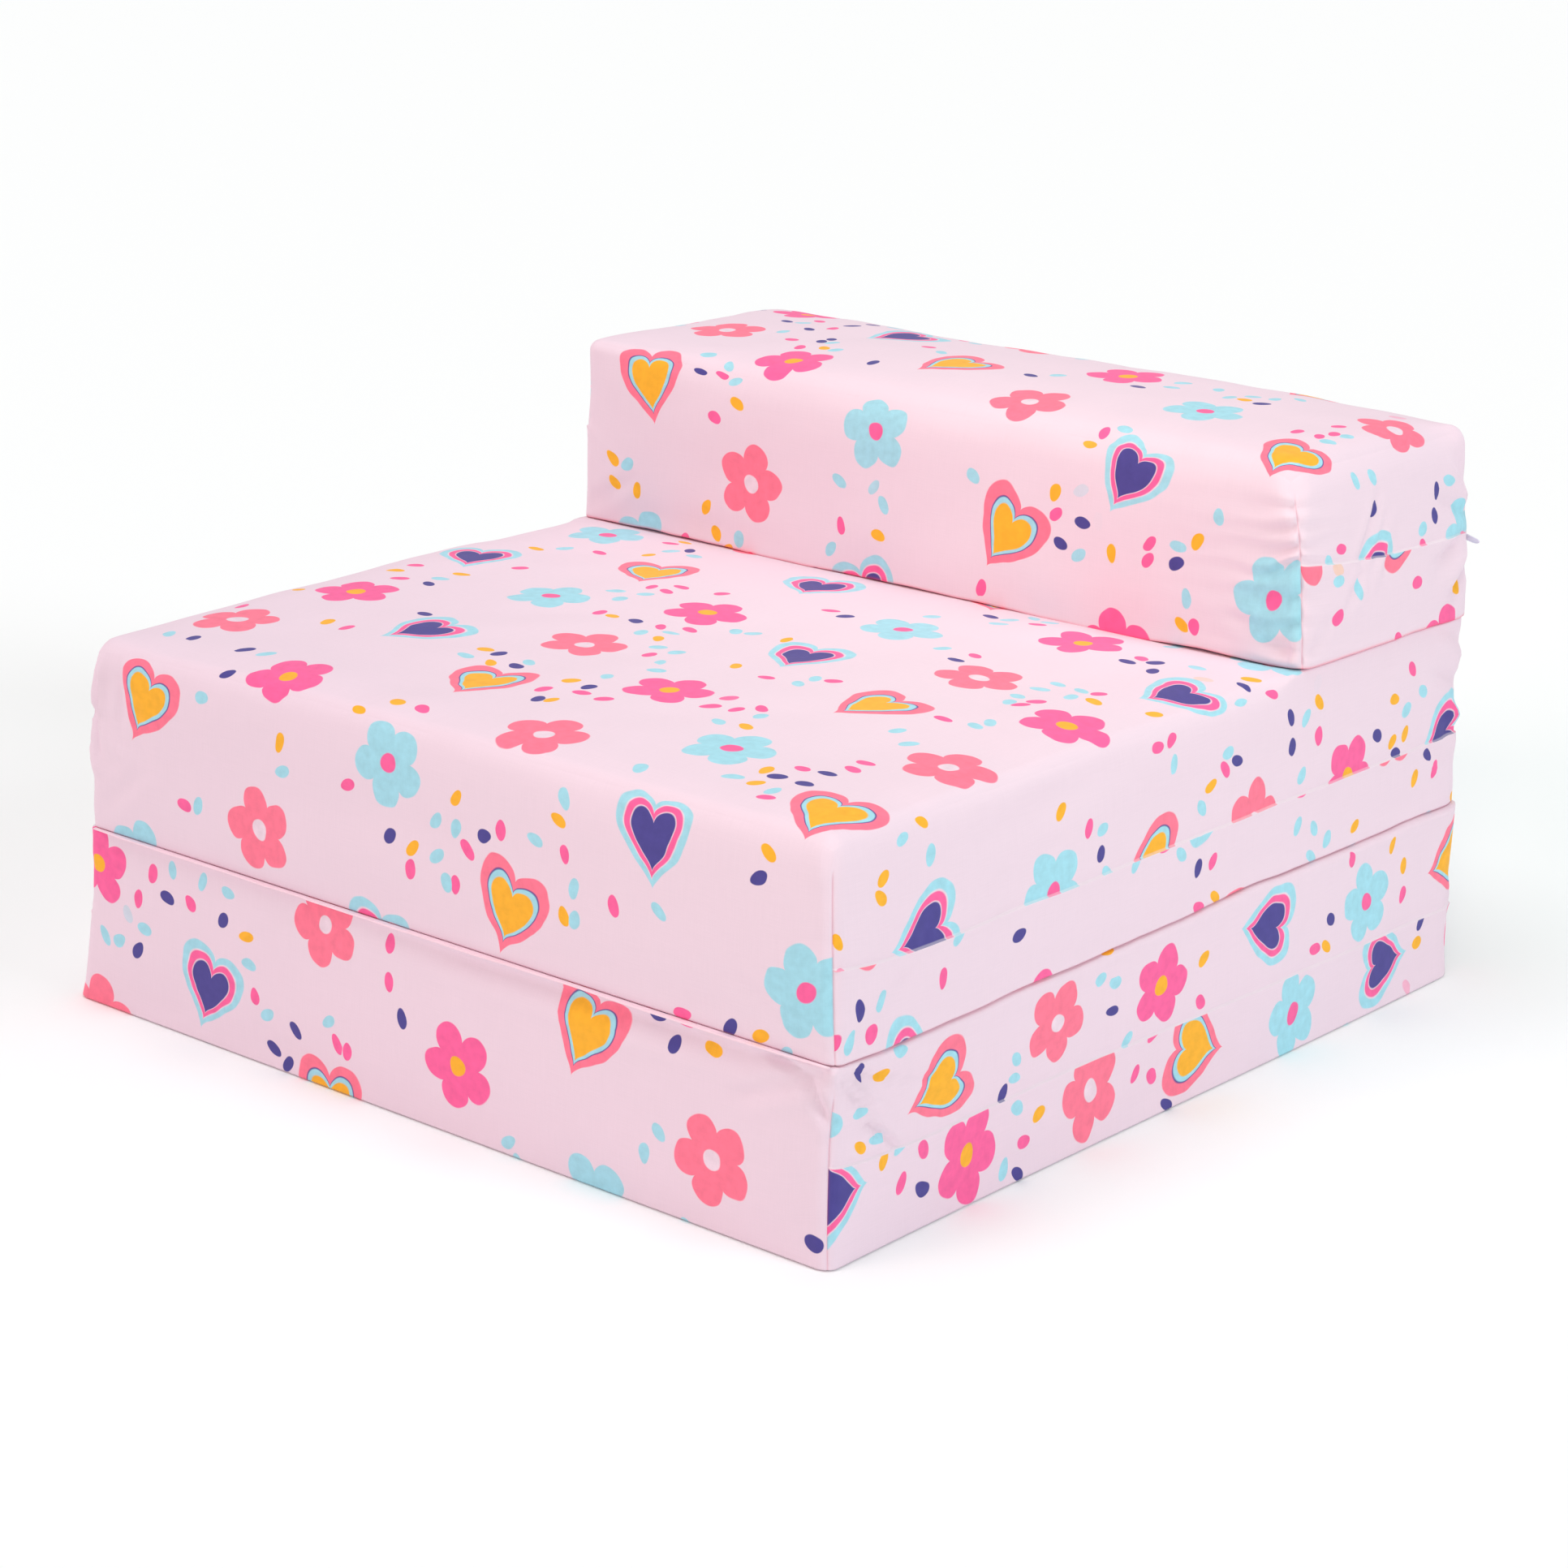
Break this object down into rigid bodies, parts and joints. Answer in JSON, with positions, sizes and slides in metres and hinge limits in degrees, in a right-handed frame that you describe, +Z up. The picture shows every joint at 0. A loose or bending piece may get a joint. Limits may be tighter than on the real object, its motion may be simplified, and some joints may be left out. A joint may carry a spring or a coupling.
{
  "type": "child's flip open sofa",
  "caption": "Low armless foam chair for a child: base, seat and bolster blocks in zipped cloth covers, hinged by cloth strips so that they open into a flat bed.",
  "frame": {"origin": "centre of the base block's underside, on the floor", "axes": "+X to the right of someone who faces the sofa, +Y towards its back, +Z up"},
  "size_m": [0.615, 0.6809, 0.3835],
  "materials": {
    "printed_cloth": "matt plain-weave cotton blend with a scattered print",
    "strip_cloth": "matt plain-weave cotton blend, folded",
    "foam": "open-cell polyurethane foam",
    "zip_tape": "herringbone zip tape",
    "zip_teeth": "moulded nylon",
    "zip_slider": "painted, satin"
  },
  "bodies": {
    "base": {"base_cover": "printed_cloth", "base_foam_core": "foam", "base_zip_tape_upper": "zip_tape", "base_zip_tape_lower": "zip_tape", "base_zip_teeth_upper": "zip_teeth", "base_zip_teeth_lower": "zip_teeth", "base_zip_top_stop_upper": "zip_teeth", "base_zip_top_stop_lower": "zip_teeth", "base_zip_bottom_stop": "zip_teeth", "front_hinge_strip": "strip_cloth"},
    "seat": {"seat_cover": "printed_cloth", "seat_foam_core": "foam", "seat_zip_tape_upper": "zip_tape", "seat_zip_tape_lower": "zip_tape", "seat_zip_teeth_upper": "zip_teeth", "seat_zip_teeth_lower": "zip_teeth", "seat_zip_top_stop_upper": "zip_teeth", "seat_zip_top_stop_lower": "zip_teeth", "seat_zip_bottom_stop": "zip_teeth", "rear_hinge_strip": "strip_cloth"},
    "bolster": {"bolster_cover": "printed_cloth", "bolster_foam_core": "foam", "bolster_zip_tape_upper": "zip_tape", "bolster_zip_tape_lower": "zip_tape", "bolster_zip_teeth_upper": "zip_teeth", "bolster_zip_teeth_lower": "zip_teeth", "bolster_zip_top_stop_upper": "zip_teeth", "bolster_zip_top_stop_lower": "zip_teeth", "bolster_zip_bottom_stop": "zip_teeth"},
    "base_slider": {"base_zip_slider": "zip_slider"},
    "seat_slider": {"seat_zip_slider": "zip_slider"},
    "bolster_slider": {"bolster_zip_slider": "zip_slider"},
    "base_pull": {"base_zip_pull": "zip_slider"},
    "seat_pull": {"seat_zip_pull": "zip_slider"},
    "bolster_pull": {"bolster_zip_pull": "zip_slider"}
  },
  "joints": [
    {"name": "seat_flip", "type": "hinge", "parent": "base", "child": "seat", "pos_m": [0, -0.3385, 0.12015], "axis": [1, 0, 0], "range_deg": [0, 180], "deforming": ["front_hinge_strip"]},
    {"name": "bolster_flip", "type": "hinge", "parent": "seat", "child": "bolster", "pos_m": [0, 0.34, 0.24845], "axis": [-1, 0, 0], "range_deg": [0, 180], "deforming": ["rear_hinge_strip"]},
    {"name": "base_zip_run", "type": "slide", "parent": "base", "child": "base_slider", "axis": [1, 0, 0], "range_m": [0, 0.564], "deforming": ["base_zip_teeth_upper", "base_zip_teeth_lower"]},
    {"name": "seat_zip_run", "type": "slide", "parent": "seat", "child": "seat_slider", "axis": [1, 0, 0], "range_m": [0, 0.564], "deforming": ["seat_zip_teeth_upper", "seat_zip_teeth_lower"]},
    {"name": "bolster_zip_run", "type": "slide", "parent": "bolster", "child": "bolster_slider", "axis": [-1, 0, 0], "range_m": [0, 0.564], "deforming": ["bolster_zip_teeth_upper", "bolster_zip_teeth_lower"]},
    {"name": "base_pull_swing", "type": "hinge", "parent": "base_slider", "child": "base_pull", "pos_m": [-0.28275, 0.33723, 0.0492], "axis": [0, 0, -1], "range_deg": [0, 180]},
    {"name": "seat_pull_swing", "type": "hinge", "parent": "seat_slider", "child": "seat_pull", "pos_m": [-0.28275, 0.33723, 0.16894], "axis": [0, 0, -1], "range_deg": [0, 180]},
    {"name": "bolster_pull_swing", "type": "hinge", "parent": "bolster_slider", "child": "bolster_pull", "pos_m": [0.28275, 0.33723, 0.3045], "axis": [0, 0, 1], "range_deg": [0, 180]}
  ]
}
